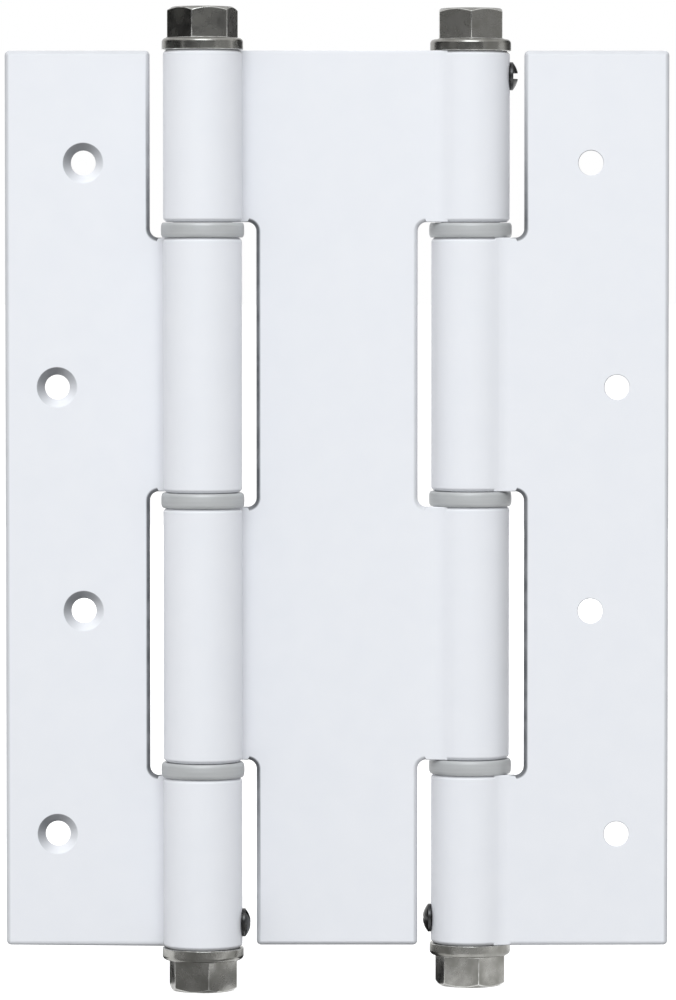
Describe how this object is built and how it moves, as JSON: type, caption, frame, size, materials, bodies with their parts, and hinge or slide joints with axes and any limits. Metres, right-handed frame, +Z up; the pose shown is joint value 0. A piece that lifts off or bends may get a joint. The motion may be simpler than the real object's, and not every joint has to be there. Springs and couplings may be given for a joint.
{
  "type": "double action spring hinge",
  "caption": "Double action spring hinge for a swing door: screw-on leaves either side of a middle plate, on sprung barrels with hex tension caps.",
  "frame": {"origin": "centre of the middle plate, midway between the barrels and at mid height", "axes": "+X from the jamb leaf to the door leaf, +Y through the flat plates to the back, +Z up along the barrels"},
  "size_m": [0.1334, 0.0252, 0.1972],
  "materials": {
    "white_coat": "white powder coat, satin gloss",
    "ring_steel": "satin turned steel",
    "cap_steel": "dark bright-plated steel",
    "screw_steel": "dark plated steel",
    "spring_steel": "oiled spring steel"
  },
  "bodies": {
    "jamb_side": {"jamb_leaf": "white_coat", "jamb_anchor_cap": "cap_steel", "jamb_lower_lock_screw": "screw_steel", "jamb_upper_ring": "ring_steel", "jamb_lower_ring": "ring_steel"},
    "middle": {"middle_plate": "white_coat", "jamb_tension_cap": "cap_steel", "jamb_upper_lock_screw": "screw_steel", "jamb_middle_ring": "ring_steel", "jamb_torsion_spring": "spring_steel", "door_tension_cap": "cap_steel", "door_upper_lock_screw": "screw_steel", "door_middle_ring": "ring_steel", "door_torsion_spring": "spring_steel"},
    "door_side": {"door_leaf": "white_coat", "door_anchor_cap": "cap_steel", "door_lower_lock_screw": "screw_steel", "door_upper_ring": "ring_steel", "door_lower_ring": "ring_steel"}
  },
  "joints": [
    {"name": "jamb_hinge", "type": "hinge", "parent": "jamb_side", "child": "middle", "pos_m": [-0.0269, -0.0043, 0], "axis": [0, 0, -1], "range_deg": [-15, 180], "stiffness_Nm_per_rad": 0.88, "deforming": ["jamb_torsion_spring"]},
    {"name": "door_hinge", "type": "hinge", "parent": "middle", "child": "door_side", "pos_m": [0.0269, 0.0043, 0], "axis": [0, 0, 1], "range_deg": [-15, 180], "stiffness_Nm_per_rad": 0.88, "deforming": ["door_torsion_spring"]}
  ]
}
